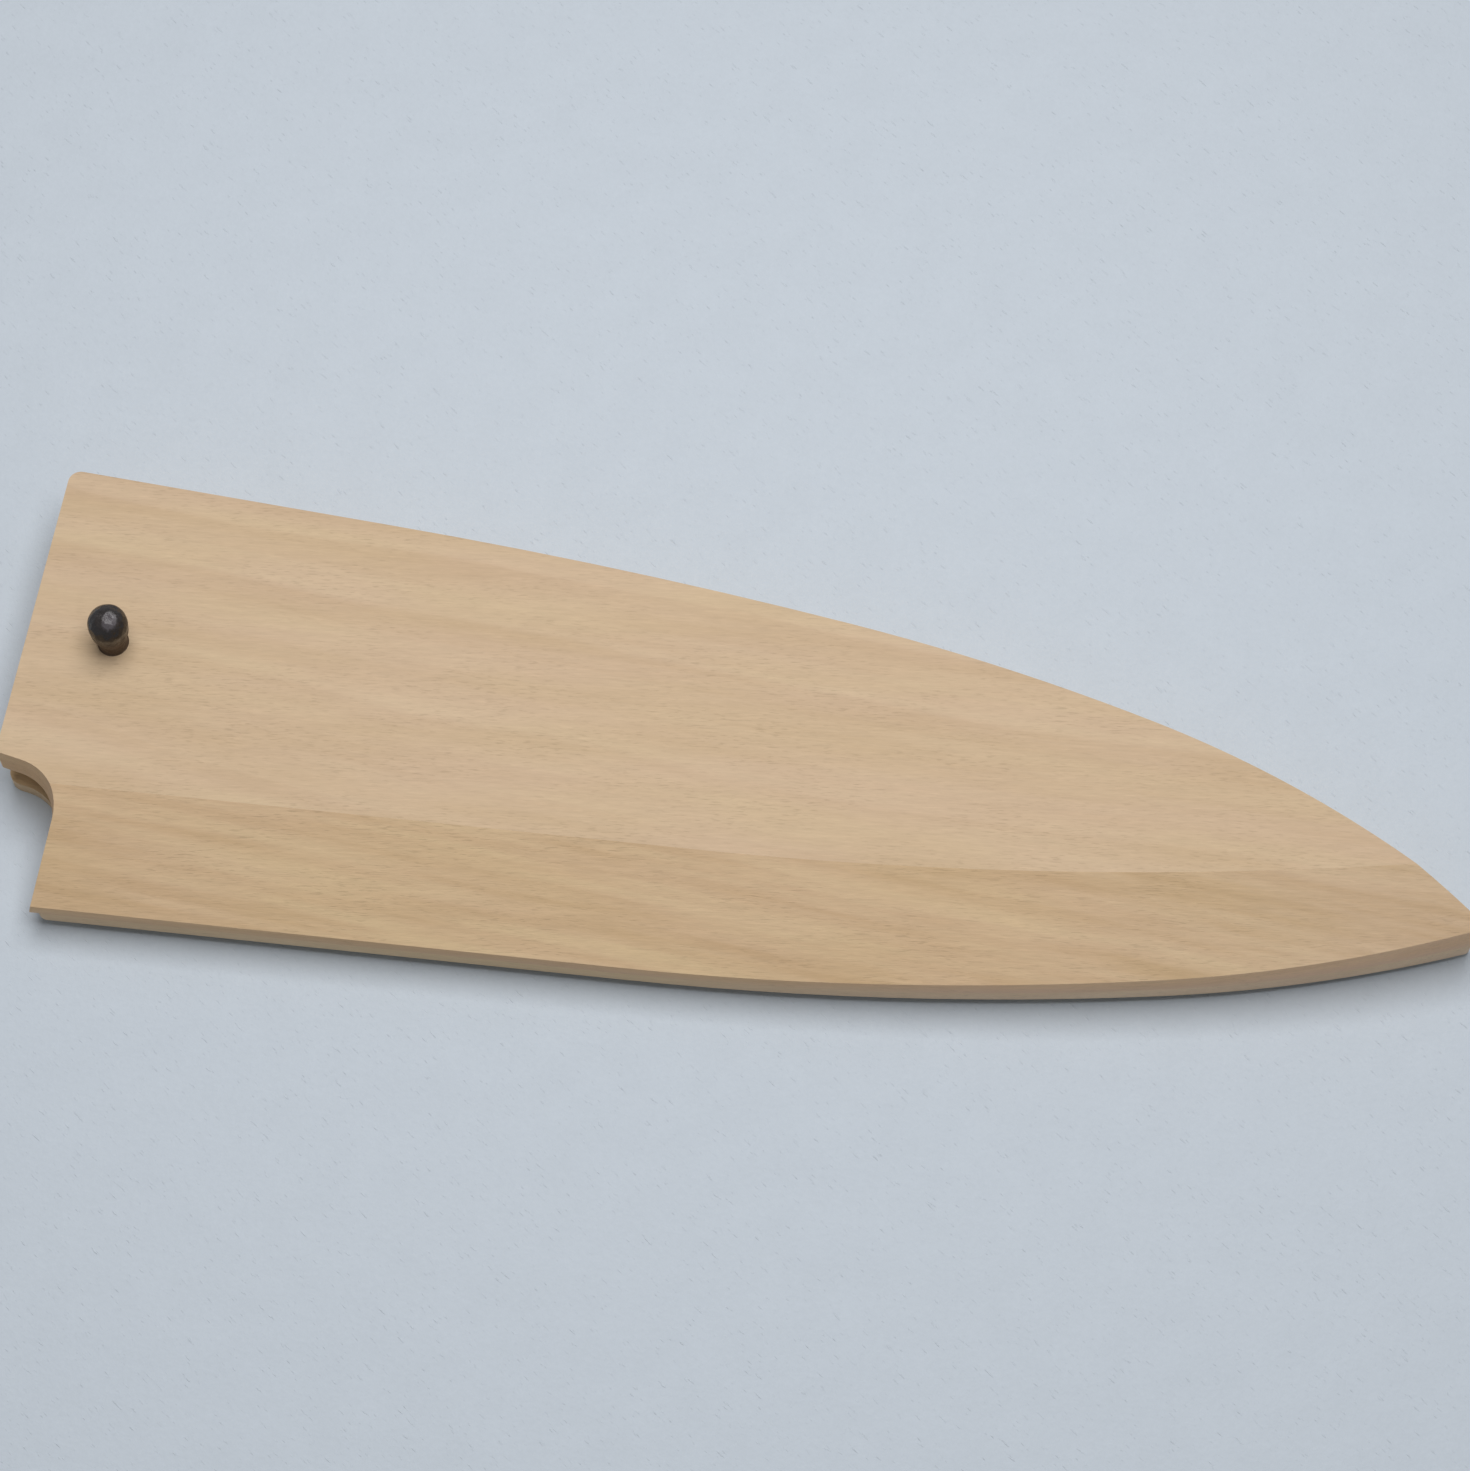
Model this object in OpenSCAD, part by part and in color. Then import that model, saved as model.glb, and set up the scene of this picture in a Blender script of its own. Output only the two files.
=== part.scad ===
// Wooden sheath for a broad single-bevel kitchen knife, with its retaining pin.
// Two boards are hollowed for the blade and glued face to face. The pin drops through
// both of them just behind the blade's heel and keeps the knife in.
// The sheath lies on its back board. X runs from the mouth to the tip, along the straight
// part of the spine, and Z is up. The origin is the middle of the sheath, at its underside.

/* [Spine side] */
// Straight run of the spine from the mouth
spine_straight = 47; // [30:1:60]
// Length of the first, slow bend of the spine
spine_slow_len = 67; // [50:1:90]
// Radius of the slow bend
spine_slow_r = 790; // [600:2:1200]
// Length of the second, fuller bend of the spine
spine_full_len = 45; // [35:1:60]
// Radius of the fuller bend
spine_full_r = 334; // [240:2:400]
// Radius of the spine's last bend, down to the tip
spine_tip_r = 157; // [125:1:200]

/* [Edge side] */
// Width across the mouth, from the spine line to the edge line
mouth_w = 64.1; // [58:0.5:74]
// Angle at which the edge line closes in on the spine line
edge_taper = 4.5; // [3:0.1:6]
// Straight run of the edge from the mouth
edge_straight = 92; // [75:1:105]
// Length of the first bend of the edge
edge_slow_len = 74; // [50:1:90]
// Radius of the first bend of the edge
edge_slow_r = 480; // [380:5:800]
// Radius of the edge's last bend, up to the tip
edge_tip_r = 218; // [170:2:300]
// Radius of the rounded tip
tip_r = 1; // [0.5:0.25:3]

/* [Boards] */
// Thickness of the glued sheath
total_t = 14; // [12:0.5:18]
// Thickness of the back board, from the underside to the glue line
back_t = 4.8; // [4:0.1:6]
// Width of the bevelled band along the edge, where it is straight
bevel_w = 16; // [12:0.5:20]
// Straight run of the ridge that starts the band
ridge_straight = 99; // [75:1:125]
// Radius of the ridge past its straight run
ridge_r = 567; // [450:3:800]
// Slope of the band on the front board along the straight ridge, in degrees
front_bevel = 23; // [16:0.5:25]
// Slope to which the front band flattens at the tip, in degrees
tip_bevel = 17.5; // [14:0.5:25]
// Slope of the band on the back board, in degrees
back_bevel = 8; // [4:0.2:9]

/* [Blade hollow] */
// Width of solid wood left all round the blade
rim_w = 5.5; // [4:0.25:8]
// Depth of the hollow in the front board
front_hollow = 2.35; // [1.5:0.05:3.5]
// Depth of the hollow in the back board
back_hollow = 2.2; // [1.5:0.05:2.8]
// Slope of the front hollow under the band, in degrees
front_hollow_taper = 10.5; // [8:0.5:14]
// Slope of the back hollow under the band, in degrees
back_hollow_taper = 6.5; // [4:0.5:9]
// Radius of the hollow's end near the tip
hollow_tip_r = 3; // [1.5:0.25:5]

/* [Heel notch] */
// Depth of the notch from the mouth, at the front board's face
notch_depth = 10.1; // [8.5:0.2:11.9]
// Depth of the notch in the back board
back_notch_depth = 9; // [8.2:0.2:10.6]
// Distance from the spine line to the lip above the notch
notch_from_spine = 44; // [38:0.5:50]
// Fall of the lip towards the notch's corner, in degrees
lip_fall = 8; // [2:0.5:12]
// Radius of the notch's inner corner
notch_r = 7; // [4:0.25:9]
// Lean of the notch's floor through the front board, in degrees
notch_lean = 11; // [4:0.5:16]
// Lean of the lip through the front board, in degrees
lip_lean = 4; // [0:0.5:8]

/* [Corners] */
// Radius of the corner between the mouth and the spine
mouth_corner_r = 1.8; // [0.8:0.2:4]
// Radius of the front board's corner between the mouth and the lip
front_lip_r = 0.8; // [0.4:0.1:2]
// Radius of the back board's corner between the mouth and the lip
back_lip_r = 2; // [0.8:0.2:3]
// Radius of the back board's corner between the notch and the edge
heel_r = 1.4; // [0.6:0.2:2.4]

/* [Retaining pin] */
// Distance of the pin's axis from the mouth
pin_from_mouth = 12.2; // [10.2:0.5:16]
// Distance of the pin's axis from the spine line
pin_from_spine = 24.9; // [18.4:0.5:31.9]
// Diameter of the pin's shank
pin_d = 4.4; // [3.6:0.1:5.4]
// Radial clearance of the pin in its holes
pin_clearance = 0.05; // [0.02:0.01:0.1]
// Diameter of the neck between the shank and the head
neck_d = 4.15; // [3:0.05:4.3]
// Diameter of the head and of the dome on top of it
head_d = 5.7; // [4.9:0.1:6.9]
// Height of the dome's centre above the front board
head_rise = 6.2; // [5.2:0.1:8]
// Length of the head's side below the dome
head_side = 2.4; // [1.6:0.1:3]
// Slope of the head's side towards the neck, in degrees
head_taper = 4; // [0:0.5:8]
// Radius of the hollow blend from the neck into the head
neck_blend = 5; // [3:0.25:7.5]
// Distance that the pin's end stays inside the underside
pin_recess = 0.8; // [0.4:0.1:1.5]

/* [Hidden] */
front_t = total_t - back_t;
past = 1;
far = 400;
round_fn = 96;
bend_step = 0.75;
facet_step = 0.75;
tip_step = 7.5;

// Direction of a heading, and the outward side of a line that runs that way
function along(h) = [cos(h), sin(h)];
function outward(h) = [-sin(h), cos(h)];
function flip(p) = [p[0], -p[1]];

// Angle turned over a length of arc
function turned(len, r) = len / r * 180 / PI;

// Both sides are worked out as lines that bend clockwise. The edge side is the
// mirror image of such a line. A stop is a point on the side and the heading there.
function straight_end(p, h, len) = p + len * along(h);
function arc_centre(p, h, r) = p - r * outward(h);
function arc_stop(c, r, h) = [c + r * outward(h), h];
function arc_stops(c, r, h1, h2) = let(n = ceil((h1 - h2) / bend_step))
    [for (i = [0:n]) arc_stop(c, r, h1 + (h2 - h1) * i / n)];

// Spine side, from the mouth to the start of its last bend
spine_p1 = straight_end([0, 0], 0, spine_straight);
spine_h2 = -turned(spine_slow_len, spine_slow_r);
spine_c1 = arc_centre(spine_p1, 0, spine_slow_r);
spine_p2 = arc_stop(spine_c1, spine_slow_r, spine_h2)[0];
spine_h3 = spine_h2 - turned(spine_full_len, spine_full_r);
spine_c2 = arc_centre(spine_p2, spine_h2, spine_full_r);
spine_p3 = arc_stop(spine_c2, spine_full_r, spine_h3)[0];
spine_c3 = arc_centre(spine_p3, spine_h3, spine_tip_r);

// Edge side in its mirror image, from the mouth to the start of its last bend
edge_p0 = [0, mouth_w];
edge_h1 = -edge_taper;
edge_p1 = straight_end(edge_p0, edge_h1, edge_straight);
edge_h2 = edge_h1 - turned(edge_slow_len, edge_slow_r);
edge_c1 = arc_centre(edge_p1, edge_h1, edge_slow_r);
edge_p2 = arc_stop(edge_c1, edge_slow_r, edge_h2)[0];
edge_c2 = arc_centre(edge_p2, edge_h2, edge_tip_r);

// Centre of the circle of radius r that touches both last bends, each set in by d
function tip_centre(d, r) = let(
    a = spine_c3,
    b = flip(edge_c2),
    ra = spine_tip_r - d - r,
    rb = edge_tip_r - d - r,
    ab = norm(b - a),
    u = (b - a) / ab,
    s = (ab * ab + ra * ra - rb * rb) / (2 * ab),
    t = sqrt(ra * ra - s * s))
    a + s * u + t * [u[1], -u[0]];
function heading_to(c, p) = atan2(p[1] - c[1], p[0] - c[0]) - 90;

// Outline of the sheath set in by d, with a tip of radius r
function spine_stops(h_end) = concat(
    [[[0, 0], 0]],
    arc_stops(spine_c1, spine_slow_r, 0, spine_h2),
    arc_stops(spine_c2, spine_full_r, spine_h2, spine_h3),
    arc_stops(spine_c3, spine_tip_r, spine_h3, h_end));
function edge_stops(h_end) = concat(
    [[edge_p0, edge_h1]],
    arc_stops(edge_c1, edge_slow_r, edge_h1, edge_h2),
    arc_stops(edge_c2, edge_tip_r, edge_h2, h_end));
function set_in(stops, d) = [for (s = stops) s[0] - d * outward(s[1])];
function reversed(points) = [for (i = [len(points) - 1:-1:0]) points[i]];
function outline(d, r, start) = let(
    c = tip_centre(d, r),
    h_spine = heading_to(spine_c3, c),
    h_edge = heading_to(edge_c2, flip(c)),
    sweep = h_spine + h_edge + 180,
    n = ceil(sweep / tip_step),
    spine = set_in(spine_stops(h_spine), d),
    edge = [for (p = set_in(edge_stops(h_edge), d)) flip(p)],
    nose = [for (i = [1:n - 1]) c + r * outward(h_spine - sweep * i / n)])
    concat([[start, spine[0][1]]], spine, nose, reversed(edge), [[start, edge[0][1]]]);

// Overall size, which centres the sheath on the origin. It is widest where the leaning
// floor of the notch meets the edge and the glue line.
function edge_y(x) = -mouth_w + x * tan(edge_taper);
sheath_len = tip_centre(0, tip_r)[0] + tip_r;
sheath_w = -edge_y(notch_depth - front_t * tan(notch_lean));

// Start of the ridge's bend, and the angle it turns from there to the tip
ridge_p1 = straight_end([0, -mouth_w + bevel_w / cos(edge_taper)], edge_taper, ridge_straight);
ridge_turn = turned(sheath_len - ridge_straight, ridge_r);

// Directions of the notch's lip and floor, away from its corner
lip_dir = [-cos(lip_fall), sin(lip_fall)];
floor_dir = [0, -1];

// Centre and reach of a rounding of radius r in the corner c between directions u and v
function corner_angle(u, v) = acos(u * v);
function corner_centre(c, u, v, r) = c + (u + v) / norm(u + v) * r / sin(corner_angle(u, v) / 2);
function corner_reach(u, v, r) = r / tan(corner_angle(u, v) / 2);

module centred() {
    translate([-sheath_len / 2, sheath_w / 2, 0]) children();
}

// The wood taken off a corner to round it
module corner_waste(c, u, v, r) {
    reach = corner_reach(u, v, r);
    centre = corner_centre(c, u, v, r);
    difference() {
        polygon([c - (u + v) * r, c + u * reach - v * r, c + u * reach, centre, c + v * reach,
            c + v * reach - u * r]);
        translate(centre) circle(r = r, $fn = round_fn);
    }
}

// Plan of the notch, cut out of the mouth's lower corner
module notch_plan(depth, lip_r) {
    corner = [depth, -notch_from_spine - depth * tan(lip_fall)];
    reach = corner_reach(lip_dir, floor_dir, notch_r);
    centre = corner_centre(corner, lip_dir, floor_dir, notch_r);
    out = 3 * mouth_w / 4;
    polygon([
        centre,
        corner + lip_dir * reach,
        corner + lip_dir * out,
        corner + lip_dir * out + floor_dir * out,
        corner + floor_dir * out,
        corner + floor_dir * reach]);
    translate(centre) circle(r = notch_r, $fn = round_fn);
    corner_waste([0, -notch_from_spine], [0, 1], -lip_dir, lip_r);
}

// A block of height h whose top is flat up to the ridge and slopes down beyond it. Past
// the straight part of the ridge the band is a row of planes, each turned a little further
// round the ridge's centre, and their slope goes evenly from the first value to the last.
module ridged_block(h, slope, tip_slope) {
    facets = ceil(ridge_turn / facet_step);
    intersection_for(i = [0:facets]) {
        run = h / tan(slope + (tip_slope - slope) * i / facets);
        translate(ridge_p1) rotate(edge_taper) translate([0, ridge_r]) rotate(ridge_turn * i / facets)
            translate([0, -ridge_r]) rotate([90, 0, 90]) translate([0, 0, -far])
            linear_extrude(2 * far) polygon([[-run, 0], [0, h], [far, h], [far, 0]]);
    }
}

module board_plan() {
    difference() {
        polygon(outline(0, tip_r, 0));
        corner_waste([0, 0], [1, 0], [0, -1], mouth_corner_r);
    }
}

// Room for the blade in one board, measured up from the glue line
module blade_hollow(depth, slope) {
    intersection() {
        translate([0, 0, -past]) linear_extrude(depth + 2 * past)
            polygon(outline(rim_w, hollow_tip_r, -past));
        union() {
            ridged_block(depth, slope, slope);
            translate([-past, -mouth_w, -past]) cube([sheath_len, mouth_w, past]);
        }
    }
}

module pin_bore() {
    translate([pin_from_mouth, -pin_from_spine, -past])
        cylinder(h = total_t + 2 * past, d = pin_d + 2 * pin_clearance, $fn = round_fn);
}

module front_board() {
    color("burlywood") centred() difference() {
        intersection() {
            translate([0, 0, back_t]) linear_extrude(front_t) board_plan();
            ridged_block(total_t, front_bevel, tip_bevel);
        }
        translate([0, 0, back_t]) blade_hollow(front_hollow, front_hollow_taper);
        translate([0, 0, total_t]) rotate([lip_lean, notch_lean, 0]) translate([0, 0, -2 * total_t])
            linear_extrude(4 * total_t) notch_plan(notch_depth * cos(notch_lean), front_lip_r);
        pin_bore();
    }
}

module back_board() {
    color("wheat") centred() difference() {
        translate([0, 0, back_t]) mirror([0, 0, 1]) difference() {
            intersection() {
                linear_extrude(back_t) board_plan();
                ridged_block(back_t, back_bevel, back_bevel);
            }
            blade_hollow(back_hollow, back_hollow_taper);
        }
        translate([0, 0, -past]) linear_extrude(back_t + 2 * past) {
            notch_plan(back_notch_depth, back_lip_r);
            corner_waste([back_notch_depth, edge_y(back_notch_depth)], -floor_dir,
                along(edge_taper), heel_r);
        }
        pin_bore();
    }
}

// Half section of the pin, with its axis on Y and the front board's face at height 0
module pin_section() {
    shank_r = pin_d / 2;
    neck_r = neck_d / 2;
    foot = -total_t + pin_recess;
    end_bevel = shank_r / 5;
    shoulder = shank_r - neck_r;
    side_top = [0, head_rise] + head_d / 2 * [cos(head_taper), -sin(head_taper)];
    side_foot = side_top - head_side * [sin(head_taper), cos(head_taper)];
    blend_x = neck_r + neck_blend;
    blend_y = side_foot[1] - sqrt(pow(neck_blend, 2) - pow(blend_x - side_foot[0], 2));
    difference() {
        polygon([[0, foot], [shank_r - end_bevel, foot], [shank_r, foot + end_bevel], [shank_r, 0],
            [neck_r, shoulder], [neck_r, blend_y], [blend_x, blend_y], side_foot, side_top,
            [0, head_rise]]);
        translate([blend_x, blend_y]) circle(r = neck_blend, $fn = round_fn);
    }
    intersection() {
        translate([0, head_rise]) circle(d = head_d, $fn = round_fn);
        translate([0, side_top[1]]) square(head_d);
    }
}

module retaining_pin() {
    color("#2b211d") centred() translate([pin_from_mouth, -pin_from_spine, total_t])
        rotate_extrude($fn = round_fn) pin_section();
}

front_board();
back_board();
retaining_pin();
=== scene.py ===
"""Looks of a wooden knife sheath: two eased boards, a turned pin, a table, light and camera.

Everything is in metres in the part's own frame: X runs from the mouth to the tip, Y from the
edge side to the spine side, and Z up from the table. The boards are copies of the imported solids
with their edges eased, and the pin is a turned surface worked out here.
"""
import logging
import math
from dataclasses import dataclass
from enum import Enum
from typing import Any, Optional, Union

import bmesh
import bpy
import numpy as np
from mathutils import Matrix, Vector


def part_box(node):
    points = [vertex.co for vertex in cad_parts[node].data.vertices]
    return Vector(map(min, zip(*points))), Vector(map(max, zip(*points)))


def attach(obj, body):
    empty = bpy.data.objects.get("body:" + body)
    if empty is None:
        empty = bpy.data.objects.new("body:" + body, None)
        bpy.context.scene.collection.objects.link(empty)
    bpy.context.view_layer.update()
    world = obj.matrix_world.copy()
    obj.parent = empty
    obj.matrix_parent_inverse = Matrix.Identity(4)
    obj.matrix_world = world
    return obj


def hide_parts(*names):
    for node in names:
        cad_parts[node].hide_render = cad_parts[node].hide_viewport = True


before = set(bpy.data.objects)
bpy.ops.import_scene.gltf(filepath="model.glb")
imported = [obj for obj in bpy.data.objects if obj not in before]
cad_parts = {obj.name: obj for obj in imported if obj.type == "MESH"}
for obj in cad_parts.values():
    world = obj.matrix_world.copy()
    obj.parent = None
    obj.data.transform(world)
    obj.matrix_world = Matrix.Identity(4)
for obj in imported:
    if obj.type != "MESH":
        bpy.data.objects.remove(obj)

MM = 0.001
NOISE_MEAN = 0.5
MIX_FACTOR, MIX_FIRST, MIX_SECOND, MIX_RESULT = 0, 6, 7, 2
LOG = logging.getLogger("sheath")

Pair = tuple[float, float]
Triple = tuple[float, float, float]
Colour = tuple[float, float, float, float]
Port = Union[int, str]

WHITE: Colour = (1.0, 1.0, 1.0, 1.0)


def linear(red: float, green: float, blue: float) -> Colour:
    """Turn a display colour into a linear one, by the standard curve of displays.

    Args:
        red: Red, 0 to 255, as a photograph shows it.
        green: Green, 0 to 255.
        blue: Blue, 0 to 255.

    Returns:
        The linear colour with an alpha of 1.
    """
    shown = np.array([red, green, blue]) / 255.0
    light = np.where(shown <= 0.04045, shown / 12.92, ((shown + 0.055) / 1.055) ** 2.4)
    return (*(float(v) for v in light), 1.0)


# Shader maths

class Wire:
    """An output of one material's node tree that takes part in Python arithmetic."""

    def __init__(self, sheet: "Sheet", socket: bpy.types.NodeSocket) -> None:
        """Wrap a socket of the sheet's tree."""
        self.sheet = sheet
        self.socket = socket

    def _math(self, operation: str, *values: "Number") -> "Wire":
        """Add one Math node and return its output."""
        return self.sheet.node("ShaderNodeMath", {"operation": operation}, dict(enumerate(values)))

    def __add__(self, other: "Number") -> "Wire":
        """Sum."""
        return self._math("ADD", self, other)

    __radd__ = __add__

    def __sub__(self, other: "Number") -> "Wire":
        """Difference."""
        return self._math("SUBTRACT", self, other)

    def __rsub__(self, other: float) -> "Wire":
        """Difference from a number."""
        return self._math("SUBTRACT", other, self)

    def __mul__(self, other: "Number") -> "Wire":
        """Product."""
        return self._math("MULTIPLY", self, other)

    __rmul__ = __mul__

    def __truediv__(self, other: "Number") -> "Wire":
        """Quotient."""
        return self._math("DIVIDE", self, other)

    def __abs__(self) -> "Wire":
        """Size without the sign."""
        return self._math("ABSOLUTE", self)

    def fraction(self) -> "Wire":
        """What is left above the whole number below."""
        return self._math("FRACT", self)

    def most(self, other: "Number") -> "Wire":
        """The larger of the two."""
        return self._math("MAXIMUM", self, other)

    def rise(self, low: float, high: float) -> "Wire":
        """Go smoothly from 0 at low to 1 at high.

        Args:
            low: Value at which the result leaves 0.
            high: Value at which the result reaches 1, above low.

        Returns:
            The smooth step.
        """
        sockets = {"Value": self, "From Min": low, "From Max": high}
        return self.sheet.node("ShaderNodeMapRange", {"interpolation_type": "SMOOTHSTEP"}, sockets)


Number = Union[Wire, float]


class Sheet:
    """The node tree of one material or of the room, with one method that makes its nodes."""

    def __init__(self, name: str, world: Optional[bpy.types.World] = None) -> None:
        """Start an empty material of that name, or empty the world's tree.

        Args:
            name: Name of the material.
            world: The world whose tree is written instead of a material's.
        """
        self.material = None if world else bpy.data.materials.new(name)
        if self.material:
            self.material.use_nodes = True
        self.tree = (world or self.material).node_tree
        self.tree.nodes.clear()

    def node(self, kind: str, settings: Optional[dict[str, Any]] = None,
             sockets: Optional[dict[Port, Any]] = None, out: Port = 0) -> Wire:
        """Make a node of any kind.

        Args:
            kind: Blender's name of the node type.
            settings: The node's own properties, set first. "stops" fills a colour ramp.
            sockets: Values or wires of its inputs, by name or number.
            out: The output wanted, by name or number.

        Returns:
            That output.
        """
        made = self.tree.nodes.new(kind)
        for key, value in (settings or {}).items():
            if key == "stops":
                self._fill_ramp(made.color_ramp, value)
            else:
                setattr(made, key, value)
        for key, value in (sockets or {}).items():
            if isinstance(value, Wire):
                self.tree.links.new(value.socket, made.inputs[key])
            else:
                made.inputs[key].default_value = value
        return Wire(self, made.outputs[out])

    @staticmethod
    def _fill_ramp(ramp: bpy.types.ColorRamp, stops: tuple[tuple[float, Colour], ...]) -> None:
        """Give a colour ramp its stops.

        Args:
            ramp: The ramp, with two stops of its own.
            stops: Each stop's place from 0 to 1 and its colour.
        """
        while len(ramp.elements) < len(stops):
            ramp.elements.new(1.0)
        for element, (place, colour) in zip(ramp.elements, stops):
            element.position = place
            element.color = colour

    def position(self) -> Wire:
        """Place on the piece, in millimetres."""
        metres = self.node("ShaderNodeTexCoord", out="Object")
        return self.vector("SCALE", metres, scale=1.0 / MM)

    def facing(self) -> Wire:
        """Direction that the surface faces, in the piece's frame."""
        return self.node("ShaderNodeTexCoord", out="Normal")

    def vector(self, operation: str, first: Any, second: Any = None,
               scale: Optional[Number] = None, out: Port = 0) -> Wire:
        """Vector maths on wires or plain triples.

        Args:
            operation: Name of the Vector Math operation.
            first: First vector.
            second: Second vector, if the operation has one.
            scale: Factor, if the operation has one.
            out: The output wanted; "Value" for a length or a product that is a number.

        Returns:
            The result.
        """
        sockets: dict[Port, Any] = {0: first if isinstance(first, Wire) else first[:3]}
        if second is not None:
            sockets[1] = second
        if scale is not None:
            sockets["Scale"] = scale
        return self.node("ShaderNodeVectorMath", {"operation": operation}, sockets, out)

    def part(self, vector: Wire, axis: str) -> Wire:
        """One of a vector's X, Y and Z."""
        return self.node("ShaderNodeSeparateXYZ", sockets={0: vector}, out=axis)

    def turned(self, vector: Wire, degrees: Triple, shift: Triple = (0.0, 0.0, 0.0)) -> Wire:
        """Turn a place about the origin, then move it.

        Args:
            vector: The place.
            degrees: Angles about X, Y and Z.
            shift: How far it is moved.

        Returns:
            The new place.
        """
        rotation = tuple(math.radians(angle) for angle in degrees)
        sockets = {"Vector": vector, "Rotation": rotation, "Location": shift}
        return self.node("ShaderNodeMapping", sockets=sockets)

    def noise(self, place: Wire, detail: float = 1.0, roughness: float = 0.5) -> Wire:
        """Smooth noise about 0.5 whose cells are one unit of the place wide."""
        sockets = {"Vector": place, "Scale": 1.0, "Detail": detail, "Roughness": roughness}
        return self.node("ShaderNodeTexNoise", {"noise_dimensions": "3D"}, sockets)

    def line_noise(self, along: Wire, detail: float = 1.0, roughness: float = 0.5) -> Wire:
        """Smooth noise about 0.5 that changes with one number only."""
        sockets = {"W": along, "Scale": 1.0, "Detail": detail, "Roughness": roughness}
        return self.node("ShaderNodeTexNoise", {"noise_dimensions": "1D"}, sockets)

    def blend(self, factor: Number, first: Any, second: Any) -> Wire:
        """Mix two colours.

        Args:
            factor: How much of the second one, 0 to 1.
            first: Colour or wire.
            second: Colour or wire.

        Returns:
            The mixed colour.
        """
        settings = {"data_type": "RGBA", "clamp_factor": True}
        sockets = {MIX_FACTOR: factor, MIX_FIRST: first, MIX_SECOND: second}
        return self.node("ShaderNodeMix", settings, sockets, MIX_RESULT)

    def brighten(self, colour: Any, factor: Wire) -> Wire:
        """Multiply a colour by a number."""
        grey = self.node("ShaderNodeCombineXYZ", sockets={0: factor, 1: factor, 2: factor})
        return self.vector("MULTIPLY", colour, grey)

    def bump(self, height: Wire, depth: float) -> Wire:
        """Surface direction of a relief.

        Args:
            height: Height of the relief, 0 to 1.
            depth: What a height of 1 stands for, in millimetres.

        Returns:
            The bent surface direction.
        """
        sockets = {"Height": height, "Distance": depth * MM, "Strength": 1.0}
        return self.node("ShaderNodeBump", sockets=sockets)

    def seen(self) -> Wire:
        """1 for rays of the camera and for rays that gloss or glass sends on, 0 for the rest."""
        camera, gloss, glass = (self.node("ShaderNodeLightPath", out=f"Is {kind} Ray")
                                for kind in ("Camera", "Glossy", "Transmission"))
        return camera.most(gloss).most(glass)

    def finish(self, sockets: dict[str, Any]) -> bpy.types.Material:
        """End the material in one Principled shader.

        Args:
            sockets: Values or wires of the shader's inputs, by name.

        Returns:
            The material.
        """
        shader = self.node("ShaderNodeBsdfPrincipled", sockets=sockets)
        self.node_output(shader)
        return self.material

    def node_output(self, shader: Wire, kind: str = "ShaderNodeOutputMaterial") -> None:
        """Lead a shader to the surface output of the material, or of the world."""
        output = self.tree.nodes.new(kind)
        self.tree.links.new(shader.socket, output.inputs["Surface"])


# Finishes

class Figure(Enum):
    """Marks in sawn wood, each a noise in cells that are longer than they are wide.

    A value holds a cell's length and width in millimetres, the number of finer layers on top of
    the first one, and the strength of each layer as a share of the one before. The first three
    make the bands of the flat faces, and the next two those of the sloping face.
    """
    WANDER = (110.0, 26.0, 0.0, 0.5)
    WAVE = (34.0, 6.0, 1.0, 0.5)
    CLOUD = (34.0, 4.5, 2.0, 0.6)
    SLOPE_STREAK = (46.0, 2.3, 2.0, 0.55)
    SLOPE_BAND = (80.0, 8.0, 0.0, 0.5)
    WARMTH = (38.0, 6.5, 1.0, 0.5)
    STREAK = (14.0, 1.1, 2.0, 0.6)
    THREAD = (3.6, 0.30, 2.0, 0.65)
    PALE_THREAD = (2.4, 0.24, 1.0, 0.6)
    VESSEL = (1.9, 0.20, 1.0, 0.6)
    VESSEL_PATCH = (16.0, 4.0, 1.0, 0.5)
    PORE = (1.6, 0.24, 2.0, 0.6)
    SANDING = (7.0, 0.5, 1.0, 0.5)


@dataclass(frozen=True)
class FaceKinds:
    """Where one kind of face passes into the next.

    Attributes:
        upright: Upward part of the direction over which a side passes into a level face.
        end: Lengthwise part of the direction over which a side passes into end grain.
        slope: Part towards the edge side over which the flat face passes into the slope.
        steep: Upward part over which a leaning face comes to count as the slope.
        edge_side: Part towards the edge side over which a wall comes to count as that side's.
        hollow: Distance from the glue line, times the direction's part towards it, over which
            a face comes to count as the hollow's, in millimetres.
        slope_fades: X along which the slope's tint grows weaker, in millimetres.
        slope_fade: Share of the slope's tint that is lost there.
        tip: X along which the painted light near the tip comes in, in millimetres.
        brow: Height above the glue line over which the brow's tint comes in, in millimetres.
    """
    upright: Pair = (0.25, 0.6)
    end: Pair = (0.5, 0.95)
    slope: Pair = (0.10, 0.24)
    steep: Pair = (0.5, 0.8)
    edge_side: Pair = (0.0, 0.4)
    hollow: Pair = (0.6, 1.6)
    slope_fades: Pair = (30.0, 95.0)
    slope_fade: float = 0.65
    tip: Pair = (-30.0, 70.0)
    brow: Pair = (-2.5, 3.5)


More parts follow.
